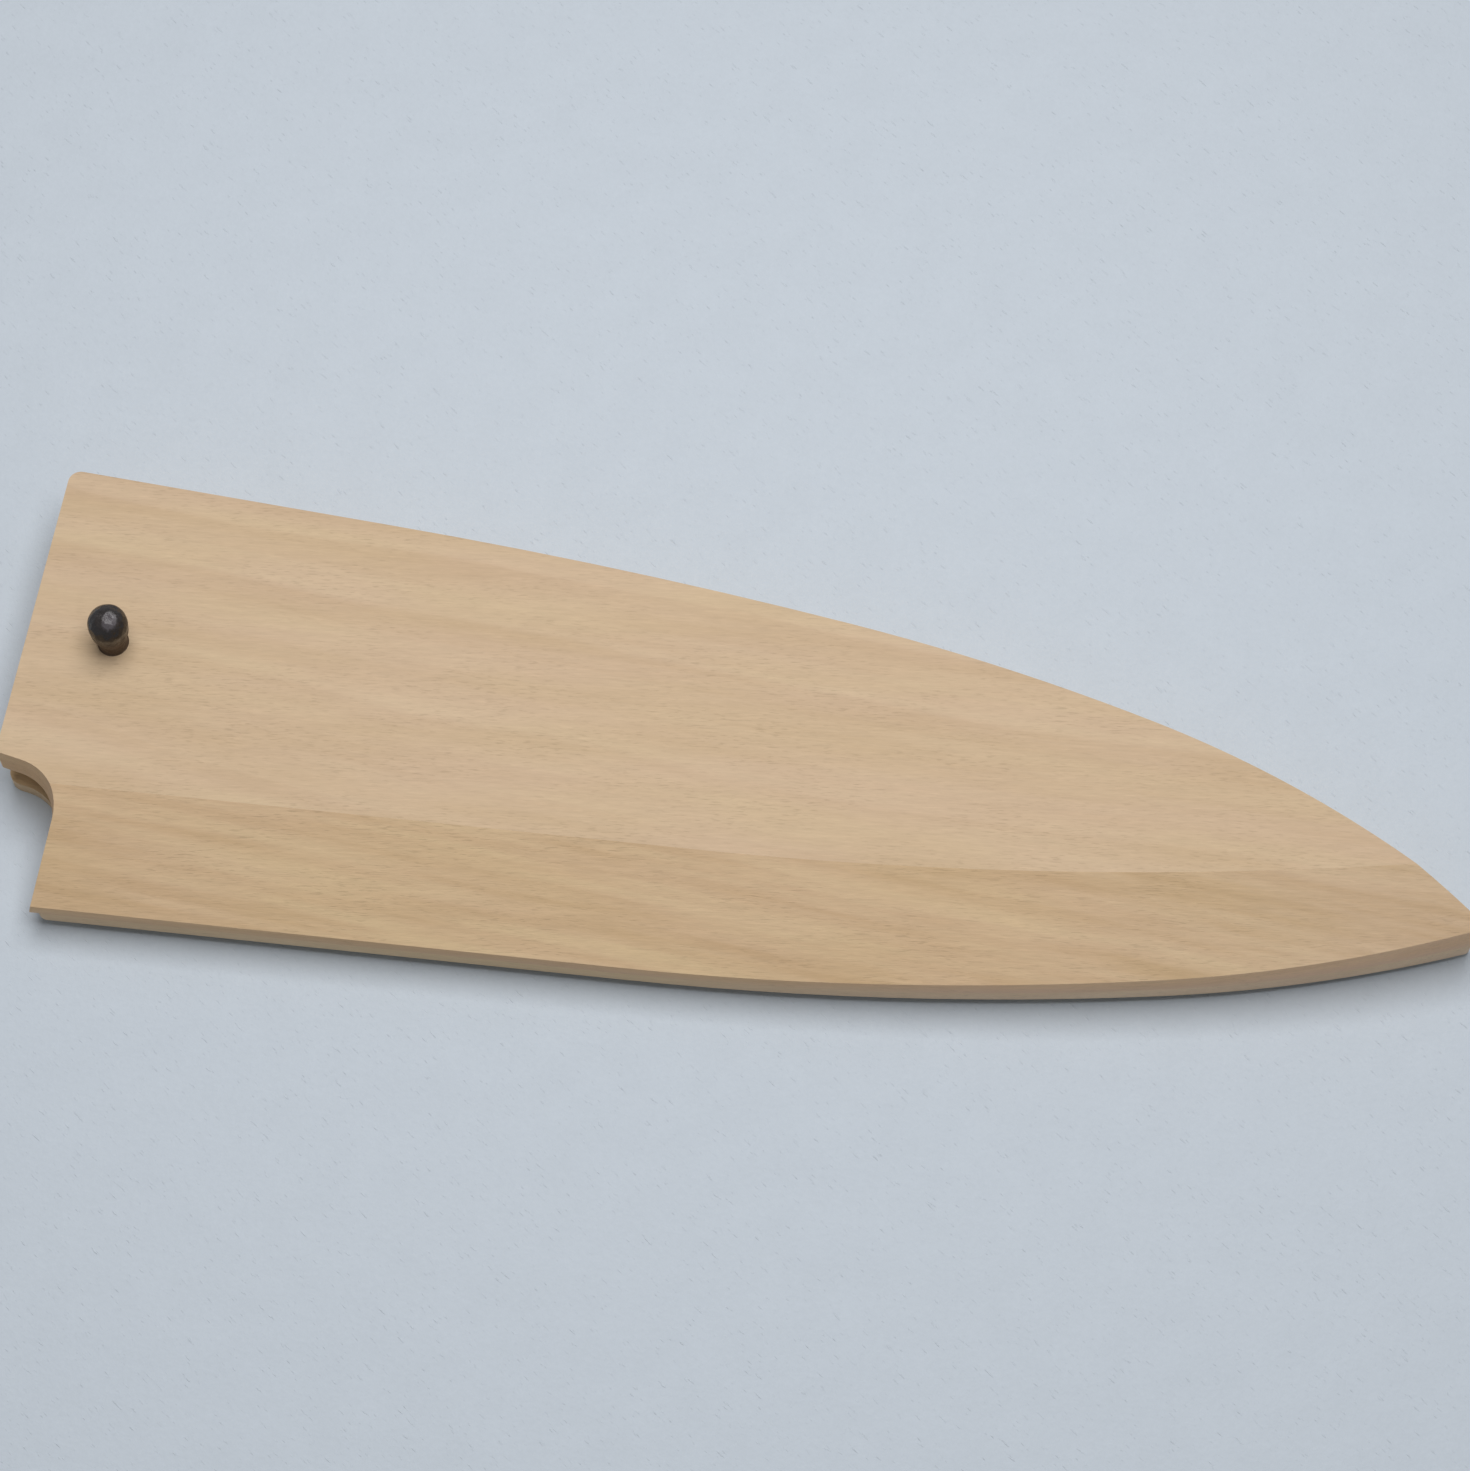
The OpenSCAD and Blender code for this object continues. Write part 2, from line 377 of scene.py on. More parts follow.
@dataclass(frozen=True)
class SawnWood:
    """Pale, sanded, unvarnished wood, worked out as a solid so that every face is cut from it.

    Attributes:
        name: Name of the material.
        stops: Colours of the growth bands, each with its place on a scale from 0 to 1.
        band_tint: Factor on the colour of faces that slope to the edge side.
        wall_light_tint: Factor on the colour of the upright sides, which brightens them: painted
            light.
        end_tint: Factor on the colour of end grain.
        pith: Y and Z of the tree's middle where X is 0, in millimetres.
        pith_angles: How the tree's middle is turned about Y and Z, in degrees.
        ring: Mean width of a year's growth, in millimetres.
        fibres_heading: Angle of the fibres from X on the flat and on the slope, in degrees.
        bands_heading: Angle of the broad bands from X on the flat and on the slope, in degrees.
        drift: Where in the endless wood this board was cut, in millimetres.
        brow_tint: Further factor on the upright sides, growing from under the glue line upwards.
        tip_light_tint: Further factor near the tip on the edge side's upright face: painted light,
            brighter and cooler.
        hollow_bounce_tint: Factor on the colour of the blade's hollow, brighter and warmer: painted
            bounce light.
        wander: How far the slow and the nearer waves push the rings, in millimetres.
        cooler: Factor on the colour of the cooler patches.
        warmer: Factor on the colour of the warmer patches.
        roughness: Roughness between the vessel marks.
        gloss: Strength of the reflection.
        relief: Depth of the sanded relief, in millimetres.
        kinds: Where one kind of face passes into the next.
    """
    name: str
    stops: tuple[tuple[float, Colour], ...]
    band_tint: Triple
    wall_light_tint: Triple
    end_tint: Triple
    pith: Pair
    pith_angles: Pair
    ring: float
    fibres_heading: Pair
    bands_heading: Pair
    drift: Triple
    brow_tint: Triple = (1.07, 0.99, 0.82)
    tip_light_tint: Triple = (1.12, 1.13, 1.24)
    hollow_bounce_tint: Triple = (1.06, 0.99, 0.90)
    wander: Pair = (7.0, 1.4)
    cooler: Triple = (0.996, 1.002, 0.960)
    warmer: Triple = (1.002, 1.000, 0.998)
    roughness: float = 0.66
    gloss: float = 0.28
    relief: float = 0.03
    kinds: FaceKinds = FaceKinds()

    @staticmethod
    def figure(sheet: Sheet, lie: Wire, mark: Figure) -> Wire:
        """Noise about 0.5 of one kind of mark.

        The place is divided by the length of a cell along the wood and by its width across it.

        Args:
            sheet: The material's sheet.
            lie: Place in millimetres with its X along the wood.
            mark: The kind of mark.

        Returns:
            The noise.
        """
        length, width, detail, roughness = mark.value
        cells = sheet.vector("MULTIPLY", lie, (1.0 / length, 1.0 / width, 1.0 / width))
        return sheet.noise(cells, detail, roughness)

    def lengthwise(self, sheet: Sheet, place: Wire, headings: Pair, on_slope: Wire) -> Wire:
        """Turn a place so that its X runs along the wood, and move it to where the board was cut.

        A plane cut through the rings at a slant shows them at another angle than the flat face
        does, so the sloping face has a heading of its own. Between the two, the turned places
        are mixed by how much the surface slopes.

        Args:
            sheet: The material's sheet.
            place: Place in millimetres.
            headings: Angle from X on the flat and on the slope, in degrees.
            on_slope: 1 on the face that slopes to the edge side, 0 elsewhere.

        Returns:
            The turned place.
        """
        flat, slope = (sheet.turned(place, (0.0, 0.0, -angle), self.drift) for angle in headings)
        change = sheet.vector("SUBTRACT", slope, flat)
        return sheet.vector("ADD", flat, sheet.vector("SCALE", change, scale=on_slope))

    def growth(self, sheet: Sheet, place: Wire, lie: Wire) -> Wire:
        """Count the years outwards from the pith.

        The count is the distance from a straight, slightly turned line, plus noise that is long
        on the fibres and short across them, all divided by the width of a year's growth.

        Args:
            sheet: The material's sheet.
            place: Place in millimetres.
            lie: The same place with its X along the bands.

        Returns:
            The count, with fractions.
        """
        pith_y, pith_z = self.pith
        centred = sheet.vector("SUBTRACT", place, (0.0, pith_y, pith_z))
        about_y, about_z = self.pith_angles
        lined = sheet.turned(centred, (0.0, about_y, about_z))
        across = sheet.vector("MULTIPLY", lined, (0.0, 1.0, 1.0))
        radius = sheet.vector("LENGTH", across, out="Value")
        by_slow, by_near = self.wander
        slow = self.figure(sheet, lie, Figure.WANDER)
        near = self.figure(sheet, lie, Figure.WAVE)
        return (radius + slow * by_slow + near * by_near) / self.ring

    def bands(self, sheet: Sheet, place: Wire, lie: Wire, on_slope: Wire) -> Wire:
        """Colour of the growth bands.

        On the flat, noise over the count of years gives each year its own shade, a fraction of
        the count darkens the end of some years, and slow noise along the fibres keeps a band
        from running on unchanged. The slope takes long, narrow streaks in their stead. The level
        is looked up on the scale of stops.

        Args:
            sheet: The material's sheet.
            place: Place in millimetres.
            lie: The same place with its X along the bands.
            on_slope: 1 on the face that slopes to the edge side, 0 elsewhere.

        Returns:
            The colour.
        """
        year_contrast, late_contrast, cloud_contrast = 0.30, 0.04, 0.28
        streak_contrast, broad_contrast = 0.70, 0.30
        draw_pace, draw_start, ramp_middle = 0.61, 7.3, 0.5
        years = self.growth(sheet, place, lie)
        each_year = sheet.line_noise(years, detail=2.0, roughness=0.6)
        shade = (each_year - NOISE_MEAN) * year_contrast
        drawn = sheet.line_noise(years * draw_pace + draw_start, detail=0.0).rise(0.4, 0.65)
        late = years.fraction().rise(0.5, 1.0) * drawn
        cloud = self.figure(sheet, lie, Figure.CLOUD) - NOISE_MEAN
        flat = shade + cloud * cloud_contrast - late * late_contrast
        streaks = self.figure(sheet, lie, Figure.SLOPE_STREAK) - NOISE_MEAN
        broad = self.figure(sheet, lie, Figure.SLOPE_BAND) - NOISE_MEAN
        slope = streaks * streak_contrast + broad * broad_contrast
        level = ramp_middle + flat + (slope - flat) * on_slope
        return sheet.node("ShaderNodeValToRGB", {"stops": self.stops}, {0: level})

    def fibres(self, sheet: Sheet, lie: Wire, on_slope: Wire) -> Wire:
        """Brightness about 1 of the fibres, from broad soft streaks down to single vessels.

        Args:
            sheet: The material's sheet.
            lie: Place in millimetres with its X along the fibres.
            on_slope: 1 on the face that slopes to the edge side, 0 elsewhere.

        Returns:
            The brightness.
        """
        streak_contrast, thread_contrast, pale_contrast = 0.08, 0.215, 0.05
        slope_gain = 0.20
        streak = self.figure(sheet, lie, Figure.STREAK) - NOISE_MEAN
        thread = self.figure(sheet, lie, Figure.THREAD) - NOISE_MEAN
        pale = self.figure(sheet, lie, Figure.PALE_THREAD).rise(0.55, 0.78)
        lines = streak * streak_contrast + thread * thread_contrast
        return 1.0 + lines * (1.0 + on_slope * slope_gain) + pale * pale_contrast

    def flecks(self, sheet: Sheet, lie: Wire) -> Wire:
        """Short dark vessel marks, lying along the fibres in uneven patches.

        Args:
            sheet: The material's sheet.
            lie: Place in millimetres with its X along the fibres.

        Returns:
            The marks, 0 to 1.
        """
        fewest = 0.25
        dash = self.figure(sheet, lie, Figure.VESSEL)
        patch = self.figure(sheet, lie, Figure.VESSEL_PATCH).rise(0.30, 0.66)
        return dash.rise(0.54, 0.74) * (fewest + patch * (1.0 - fewest))

    def sides(self, sheet: Sheet, facing: Wire, place: Wire, glue: float, on_slope: Wire,
              colour: Wire) -> Wire:
        """Tint the sloping face, the upright sides, the end grain and the blade's hollow, painting
        light on the sides and in the hollow.

        Each kind of face is told by the direction it looks: the sides level, the end grain along
        X. The hollow looks towards the glue line from either side, so the product of its height
        above that line and of the upward part of its direction is below zero. The slope's tint
        grows weaker towards the tip. There the edge side's upright face turns towards the light,
        and painted light makes it brighter and cooler.

        Args:
            sheet: The material's sheet.
            facing: Direction that the surface faces.
            place: Place in millimetres.
            glue: Height of the glue line, in millimetres.
            on_slope: 1 on the face that slopes to the edge side, 0 elsewhere.
            colour: Colour of the wood.

        Returns:
            The tinted colour.
        """
        kinds = self.kinds
        upward = sheet.part(facing, "Z")
        towards_edge = (0.0 - sheet.part(facing, "Y")).rise(*kinds.edge_side)
        along, level = sheet.part(place, "X"), sheet.part(place, "Z") - glue
        wall = 1.0 - abs(upward).rise(*kinds.upright)
        tints = (
            (on_slope * (1.0 - along.rise(*kinds.slope_fades) * kinds.slope_fade), self.band_tint),
            # painted light: the upright sides are lifted above what the lamps give them
            (wall, self.wall_light_tint),
            (wall * level.rise(*kinds.brow), self.brow_tint),
            # painted light: the edge side's wall near the tip is brightened and cooled as it turns
            # to the light
            (wall * along.rise(*kinds.tip) * towards_edge, self.tip_light_tint),
            (abs(sheet.part(facing, "X")).rise(*kinds.end), self.end_tint),
            # painted bounce light: the blade's hollow is brightened and warmed
            ((0.0 - upward * level).rise(*kinds.hollow), self.hollow_bounce_tint))
        for share, tint in tints:
            colour = sheet.blend(share, colour, sheet.vector("MULTIPLY", colour, tint))
        return colour

    def build(self, glue: float) -> bpy.types.Material:
        """Make the material.

        Args:
            glue: Height of the glue line, in millimetres.

        Returns:
            The wood.
        """
        sheet = Sheet(self.name)
        place, facing = sheet.position(), sheet.facing()
        outward = (0.0 - sheet.part(facing, "Y")).rise(*self.kinds.slope)
        on_slope = outward * abs(sheet.part(facing, "Z")).rise(*self.kinds.steep)
        lie = self.lengthwise(sheet, place, self.fibres_heading, on_slope)
        broad = self.lengthwise(sheet, place, self.bands_heading, on_slope)
        flecks = self.flecks(sheet, lie)
        warmth = self.figure(sheet, broad, Figure.WARMTH).rise(0.32, 0.68)
        plain = self.bands(sheet, place, broad, on_slope)
        cooler, warmer = (sheet.vector("MULTIPLY", plain, tint)
                          for tint in (self.cooler, self.warmer))
        patched = sheet.blend(warmth, cooler, warmer)
        tinted = self.sides(sheet, facing, place, glue, on_slope, patched)
        fleck_shade, fleck_roughness = 0.15, 0.1
        pore_share, sanding_share, fleck_share = 0.6, 0.4, 0.5
        shade = self.fibres(sheet, lie, on_slope) * (1.0 - flecks * fleck_shade)
        pores, sanding = (self.figure(sheet, lie, mark) for mark in (Figure.PORE, Figure.SANDING))
        height = pores * pore_share + sanding * sanding_share - flecks * fleck_share
        return sheet.finish({
            "Base Color": sheet.brighten(tinted, shade),
            "Roughness": self.roughness + flecks * fleck_roughness,
            "Specular IOR Level": self.gloss,
            "Normal": sheet.bump(height, self.relief)})


@dataclass(frozen=True)
class DarkPinWood:
    """Near-black hard wood, whittled, waxed and handled, with painted reflection and highlight.

    Its side and neck are browner, partly by painted reflection of the pale boards, and the
    rubbed patch near the top of its head is partly a painted highlight.

    Attributes:
        name: Name of the material.
        dark: Colour of the head's dome.
        worn: Colour of the handled and dusty parts.
        side: Colour of the head's side and the neck, partly painted reflection of the pale boards.
        scuffed_and_highlight: Colour of the rubbed patch near the top of the head, partly a painted
            highlight.
        scuff_highlight_place: Middle of that patch from the dome's centre, in millimetres.
        scuff_highlight_reach: Distances over which that patch ends, in millimetres.
        side_span: Heights about the dome's centre over which the side's colour ends, in
            millimetres.
        line_cells: Cells of the fine lines along the pin, per millimetre.
        blotch_cells: Cells of the blotches, per millimetre.
        cut_cells: Cells of the short knife cuts, per millimetre.
        gloss: Strength of the reflection.
        relief: Depth of the relief, in millimetres.
    """
    name: str
    dark: Colour
    worn: Colour
    side: Colour
    scuffed_and_highlight: Colour
    scuff_highlight_place: Triple
    scuff_highlight_reach: Pair = (0.75, 1.45)
    side_span: Pair = (-3.0, 0.6)
    line_cells: Triple = (3.4, 3.4, 0.45)
    blotch_cells: Triple = (0.8, 0.8, 0.7)
    cut_cells: Triple = (0.95, 0.95, 0.70)
    gloss: float = 0.36
    relief: float = 0.30

    def build(self, axis: Pair, dome_z: float) -> bpy.types.Material:
        """Make the material.

        The colour goes from the dome to the side, whose brown is partly painted reflection, over a
        ragged line. A rubbed patch, partly a painted highlight, lies within a ragged distance of
        its middle. The relief is made of cells with flat bottoms, as short knife cuts leave them,
        with fine lines along the pin on top.

        Args:
            axis: X and Y of the pin's axis, in millimetres.
            dome_z: Height of the dome's centre, in millimetres.

        Returns:
            The dark wood.
        """
        sheet = Sheet(self.name)
        place = sheet.vector("SUBTRACT", sheet.position(), (*axis, 0.0))
        lines, blotch = (
            sheet.noise(sheet.vector("MULTIPLY", place, cells), detail=3.0, roughness=0.6)
            for cells in (self.line_cells, self.blotch_cells))
        cuts = sheet.node("ShaderNodeTexVoronoi", {"feature": "SMOOTH_F1"}, {
            "Vector": sheet.vector("MULTIPLY", place, self.cut_cells),
            "Scale": 1.0,
            "Smoothness": 0.25})
        ragged_side, ragged_scuff_highlight, frayed_scuff_highlight = 2.0, 1.6, 1.2
        worn_dome, worn_side, most_scuffed_highlight = 0.12, 0.2, 0.85
        darkest, blotchiness = 0.7, 0.6
        cut_share, line_share, blotch_share = 0.8, 0.20, 0.35
        waxed, dull_blotch, dull_side = 0.22, 0.18, 0.28
        by_blotch, by_line = blotch - NOISE_MEAN, lines - NOISE_MEAN
        low, high = self.side_span
        height = sheet.part(place, "Z") + by_blotch * ragged_side
        below = 1.0 - height.rise(dome_z + low, dome_z + high)
        worn = lines.rise(0.5, 0.75) * (worn_dome + below * worn_side)
        # a grey patch near the top of the head, partly painted highlight and partly rubbed wear
        off_x, off_y, off_z = self.scuff_highlight_place
        reach = sheet.vector("DISTANCE", place, (off_x, off_y, dome_z + off_z), out="Value")
        ragged = reach + by_blotch * ragged_scuff_highlight + by_line * frayed_scuff_highlight
        scuff_and_highlight = (1.0 - ragged.rise(*self.scuff_highlight_reach)) * most_scuffed_highlight
        # the side's brown is partly painted reflection of the pale boards
        colour = sheet.blend(below, self.dark, self.side)
        colour = sheet.blend(worn, colour, self.worn)
        colour = sheet.blend(scuff_and_highlight, colour, self.scuffed_and_highlight)
        relief = cuts * cut_share + lines * line_share + blotch * blotch_share
        return sheet.finish({
            "Base Color": sheet.brighten(colour, darkest + blotch * blotchiness),
            "Roughness": waxed + blotch.rise(0.4, 0.65) * dull_blotch + below * dull_side,
            "Specular IOR Level": self.gloss,
            "Normal": sheet.bump(relief, self.relief)})


@dataclass(frozen=True)
class PlainTable:
    """The pale blue-grey table top, which passes into the pale room far from the sheath.

    Attributes:
        name: Name of the material.
        colour: Its colour.
        room: Colour of the room that it passes into.
        passage: Distances over which it does, in millimetres.
        mottle_cells: Cells of the slow mottling, per millimetre.
        grain_cells: Cells of the fine grain, per millimetre.
        hair_cells: Cells of the brushed hairs, per millimetre, lengthwise first.
        hair_turn: Turn of the hairs about Z, in radians.
        roughness: Its roughness.
        gloss: Strength of the reflection.
        relief: Depth of the relief, in millimetres.
    """
    name: str
    colour: Colour
    room: Colour
    passage: Pair = (175.0, 420.0)
    mottle_cells: float = 0.16
    grain_cells: float = 1.1
    hair_cells: Triple = (0.5, 2.6, 1.0)
    hair_turn: float = 0.6
    roughness: float = 0.75
    gloss: float = 0.2
    relief: float = 0.14

    def build(self) -> bpy.types.Material:
        """Make the material.

        Returns:
            The table top.
        """
        sheet = Sheet(self.name)
        place = sheet.position()
        mottle, grain = (
            sheet.noise(sheet.vector("SCALE", place, scale=cells), detail, 0.6) - NOISE_MEAN
            for cells, detail in ((self.mottle_cells, 4.0), (self.grain_cells, 2.0)))
        turn = {"Vector": place, "Rotation": (0.0, 0.0, self.hair_turn)}
        bent = sheet.node("ShaderNodeMapping", sockets=turn)
        brushed = sheet.noise(sheet.vector("MULTIPLY", bent, self.hair_cells), 2.0, 0.55)
        hairs = brushed.rise(0.62, 0.8)
        mottle_contrast, grain_contrast, hair_contrast, share = 0.07, 0.06, 0.07, 0.5
        shade = (1.0 + mottle * mottle_contrast + grain * grain_contrast
                 + hairs * hair_contrast)
        height = mottle * share + grain * share + hairs * share
        top = sheet.node("ShaderNodeBsdfPrincipled", sockets={
            "Base Color": sheet.brighten(self.colour, shade),
            "Roughness": self.roughness,
            "Specular IOR Level": self.gloss,
            "Normal": sheet.bump(height, self.relief)})
        haze = sheet.node("ShaderNodeEmission", sockets={"Color": self.room, "Strength": 1.0})
        far = sheet.vector("LENGTH", place, out="Value").rise(*self.passage)
        mixed = {0: far * sheet.seen(), 1: top, 2: haze}
        sheet.node_output(sheet.node("ShaderNodeMixShader", sockets=mixed))
        return sheet.material


# Pieces

def placed(name: str, data: bpy.types.ID) -> bpy.types.Object:
    """Make an object at the origin and put it in the scene.

    Args:
        name: Its name.
        data: Its mesh, light or camera.

    Returns:
        The object.
    """
    made = bpy.data.objects.new(name, data)
    bpy.context.scene.collection.objects.link(made)
    return made


class Easing(Enum):
    """How far an edge of a board is eased, in millimetres."""
    KEPT = 0.0
    GLUE_LINE = 0.05
    RIDGE = 0.22
    HOLLOW = 0.15
    OUTSIDE = 0.38


@dataclass
class Board:
    """One of the two boards, a copy of its solid with its edges eased as by sandpaper.

    Attributes:
        node: Name of the solid.
        slot: Name of the record's material slot; not used.
        glue: Height of the glue line, in millimetres.
        hollow: Lowest and highest level of the blade's hollow, in millimetres.
        sharp: Angle between two faces from which their edge counts, in degrees.
        steps: Number of facets across an eased edge.
        flatness: How much more a large face's direction counts than a small one's, 1 to 100.
        tilt: Tilt up to which a face counts as looking up or down, in degrees.
        same_point: Distance below which two corners are one, in millimetres.
        same_plane: Angle below which two faces are one, in degrees.
        near: Distance within which an edge counts as on a level, in millimetres.
        mouth_depth: Distance from the mouth within which the hollow's edges lie, in millimetres.
    """
    node: str
    slot: str
    glue: float
    hollow: Pair
    sharp: float = 12.0
    steps: int = 3
    flatness: int = 100
    tilt: float = 60.0
    same_point: float = 0.002
    same_plane: float = 0.03
    near: float = 0.01
    mouth_depth: float = 0.5

    def build(self, finish: bpy.types.Material) -> bpy.types.Object:
        """Make the piece, dress it and let it stand for its solid.

        Args:
            finish: The wood.

        Returns:
            The finished piece.
        """
        piece = self._merged_copy()
        self._mark_edges(piece.data)
        self._ease(piece)
        piece.data.materials.clear()
        piece.data.materials.append(finish)
        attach(piece, "sheath")
        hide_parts(self.node)
        LOG.info("%s: %d faces before easing", piece.name, len(piece.data.polygons))
        return piece

    def _merged_copy(self) -> bpy.types.Object:
        """Copy the solid's loose triangles and join them into whole flat faces.

        Returns:
            The copy, an object of its own.
        """
        mesh = bpy.data.objects[self.node].data.copy()
        mesh.name = self.node + "_wood"
        work = bmesh.new()
        work.from_mesh(mesh)
        bmesh.ops.remove_doubles(work, verts=work.verts, dist=self.same_point * MM)
        flat_enough = math.radians(self.same_plane)
        bmesh.ops.dissolve_limit(work, angle_limit=flat_enough, verts=work.verts, edges=work.edges)
        work.to_mesh(mesh)
        work.free()
        mesh.attributes.new("bevel_weight_edge", "FLOAT", "EDGE")
        mesh.shade_smooth()
        return placed(mesh.name, mesh)

    @staticmethod
    def _read(items: Any, name: str, width: int = 1, kind: type = float) -> np.ndarray:
        """Read a property of all of a mesh's points, edges, faces or face corners.

        Args:
            items: The points, edges, faces or face corners.
            name: Name of the property.
            width: How many numbers it has for each.
            kind: Type of the numbers.

        Returns:
            A row for each, or a plain number for each where the width is 1.
        """
        values = np.empty(len(items) * width, kind)
        items.foreach_get(name, values)
        return values.reshape(-1, width) if width > 1 else values

    def _mark_edges(self, mesh: bpy.types.Mesh) -> None:
        """Weigh each edge by how much it is eased.

        An outward edge counts where its faces meet at more than the sharp angle. Its easing goes
        by its place: on the glue line, on the hollow at the mouth, on the ridge between two faces
        that both look up or both look down, or elsewhere on the outside.

        Args:
            mesh: The board's mesh.
        """
        faces = mesh.polygons
        ends = self._read(mesh.edges, "vertices", 2, np.int32)
        middle = self._read(mesh.vertices, "co", 3)[ends].mean(axis=1) / MM
        normals, centres = (self._read(faces, name, 3) for name in ("normal", "center"))
        corners = self._read(faces, "loop_total", kind=np.int32)
        order = np.argsort(self._read(mesh.loops, "edge_index", kind=np.int32), kind="stable")
        sides = np.repeat(np.arange(len(faces)), corners)[order].reshape(-1, 2)
        first, second = normals[sides[:, 0]], normals[sides[:, 1]]
        meeting = np.degrees(np.arccos(np.clip((first * second).sum(axis=1), -1.0, 1.0)))
        outward = ((centres[sides[:, 1]] - centres[sides[:, 0]]) * first).sum(axis=1) < 0.0
        counts = outward & (meeting > self.sharp)
        along, height = middle[:, 0], middle[:, 2]
        on_glue = np.abs(height - self.glue) < self.near
        low, high = self.hollow
        in_hollow = (height > low - 2.0 * self.near) & (height < high + 2.0 * self.near)
        at_mouth = along < along.min() + self.mouth_depth
        least_upward = math.cos(math.radians(self.tilt))
        level = np.minimum(np.abs(first[:, 2]), np.abs(second[:, 2])) > least_upward
        easing = np.full(len(ends), Easing.OUTSIDE.value)
        easing[level] = Easing.RIDGE.value
        easing[in_hollow & at_mouth] = Easing.HOLLOW.value
        easing[on_glue] = Easing.GLUE_LINE.value
        easing[~counts] = Easing.KEPT.value
        weights = (easing / Easing.OUTSIDE.value).astype(np.float32)
        mesh.attributes["bevel_weight_edge"].data.foreach_set("value", weights)

    def _ease(self, piece: bpy.types.Object) -> None:
        """Round the weighted edges and keep the flat faces flat.

        Args:
            piece: The board, with its edges weighed.
        """
        bevel = piece.modifiers.new("eased edges", "BEVEL")
        bevel.limit_method = "WEIGHT"
        bevel.width = Easing.OUTSIDE.value * MM
        bevel.segments = self.steps
        bevel.miter_outer = "MITER_ARC"
        flat = piece.modifiers.new("flat faces", "WEIGHTED_NORMAL")
        flat.weight = self.flatness
        flat.keep_sharp = False


@dataclass
class TurnedPin:
    """The retaining pin, a turned surface about its axis.

    Attributes:
        node: Name of the solid.
        slot: Name of the record's material slot; not used.
        face: Height of the front board's face, in millimetres.
        shank_r: Radius of the shank, in millimetres.
        neck_r: Radius of the neck, in millimetres.
        blend_r: Radius of the hollow blend from the neck into the head, in millimetres.
        side: Length of the head's side below its dome, in millimetres.
        side_taper: Slope of the head's side towards the neck, in degrees.
        end_bevel: Bevel at the pin's end, in millimetres.
        flat_depth: Depth of the flats that the knife left on the head, in millimetres.
        flats_start: Height above the face at which the flats begin, in millimetres.
        flats_grow: Height over which they grow to their depth, in millimetres.
        columns: Number of facets around.
        blend_points: Number of points on the arc from the neck into the head.
        dome_points: Number of points on the dome.
    """
    node: str = "retaining_pin"
    slot: str = "pin_wood"
    face: float = 14.0
    shank_r: float = 2.2
    neck_r: float = 2.075
    blend_r: float = 5.0
    side: float = 2.4
    side_taper: float = 4.0
    end_bevel: float = 0.44
    flat_depth: float = 0.05
    flats_start: float = 1.0
    flats_grow: float = 3.0
    columns: int = 128
    blend_points: int = 20
    dome_points: int = 56

    def __post_init__(self) -> None:
        """Read the pin's place and its head's size from the frame."""
        low, high = (np.array(corner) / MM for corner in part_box(self.node))
        self.low, self.high = low, high
        self.axis = (float(low[0] + high[0]) / 2.0, float(low[1] + high[1]) / 2.0)
        self.dome_r = float(high[0] - low[0]) / 2.0
        self.dome_z = float(high[2]) - self.dome_r

    def profile(self) -> np.ndarray:
        """Half section of the pin from the rim of its foot to just below the top of its head.

        The shank is straight, and a short shoulder leads to the neck. An arc that bends inwards
        leaves the neck upright and ends where the head's side begins. The side widens a little
        on its way up, and the dome takes it over along a common tangent. The corner between the
        arc and the side is rounded.

        Returns:
            Rows of radius and height, in millimetres.
        """
        taper = math.radians(self.side_taper)
        top = np.array([self.dome_r * math.cos(taper), self.dome_z - self.dome_r * math.sin(taper)])
        bottom = top - self.side * np.array([math.sin(taper), math.cos(taper)])
        blend_x = self.neck_r + self.blend_r
        lean = math.acos((blend_x - bottom[0]) / self.blend_r)
        blend_z = bottom[1] - self.blend_r * math.sin(lean)
        inward = np.linspace(0.0, lean, self.blend_points)[1:]
        blend = np.column_stack([blend_x - self.blend_r * np.cos(inward),
                                 blend_z + self.blend_r * np.sin(inward)])
        upward = np.linspace(-taper, math.pi / 2.0, self.dome_points)[1:-1]
        dome = np.column_stack([self.dome_r * np.cos(upward),
                                self.dome_z + self.dome_r * np.sin(upward)])
        foot = float(self.low[2])
        end = (self.shank_r - self.end_bevel, foot)
        shank_low = (self.shank_r, foot + self.end_bevel)
        shank_high = (self.shank_r, self.face)
        neck_low = (self.neck_r, self.face + self.shank_r - self.neck_r)
        lower = self._straight(end, shank_low, steps=4)
        shank = self._straight(shank_low, shank_high, steps=24)
        shoulder = self._straight(shank_high, neck_low, steps=4)
        neck = self._straight(neck_low, (self.neck_r, blend_z), steps=6)
        side = self._straight(tuple(bottom), tuple(top), steps=16)
        rows = np.vstack([lower, shank[1:], shoulder[1:], neck[1:], blend, side[1:], dome])
        return self._rounded(rows, len(rows) - len(dome) - len(side) + 1)

    @staticmethod
    def _rounded(rows: np.ndarray, corner: int, reach: int = 4, passes: int = 6) -> np.ndarray:
        """Round the corner of a half section.

        Args:
            rows: Rows of radius and height, in millimetres.
            corner: Number of the row at the corner.
            reach: How many rows on each side are moved.
            passes: How often each of them takes the mean of itself and its two neighbours.

        Returns:
            The same rows, rounded.
        """
        first, last = corner - reach, corner + reach
        for _ in range(passes):
            here = rows[first:last]
            rows[first:last] = (rows[first - 1:last - 1] + here + rows[first + 1:last + 1]) / 3.0
        return rows

    @staticmethod
    def _straight(start: Pair, end: Pair, steps: int) -> np.ndarray:
        """Evenly spaced points on a straight stretch, both ends among them."""
        return np.linspace(start, end, steps + 1)

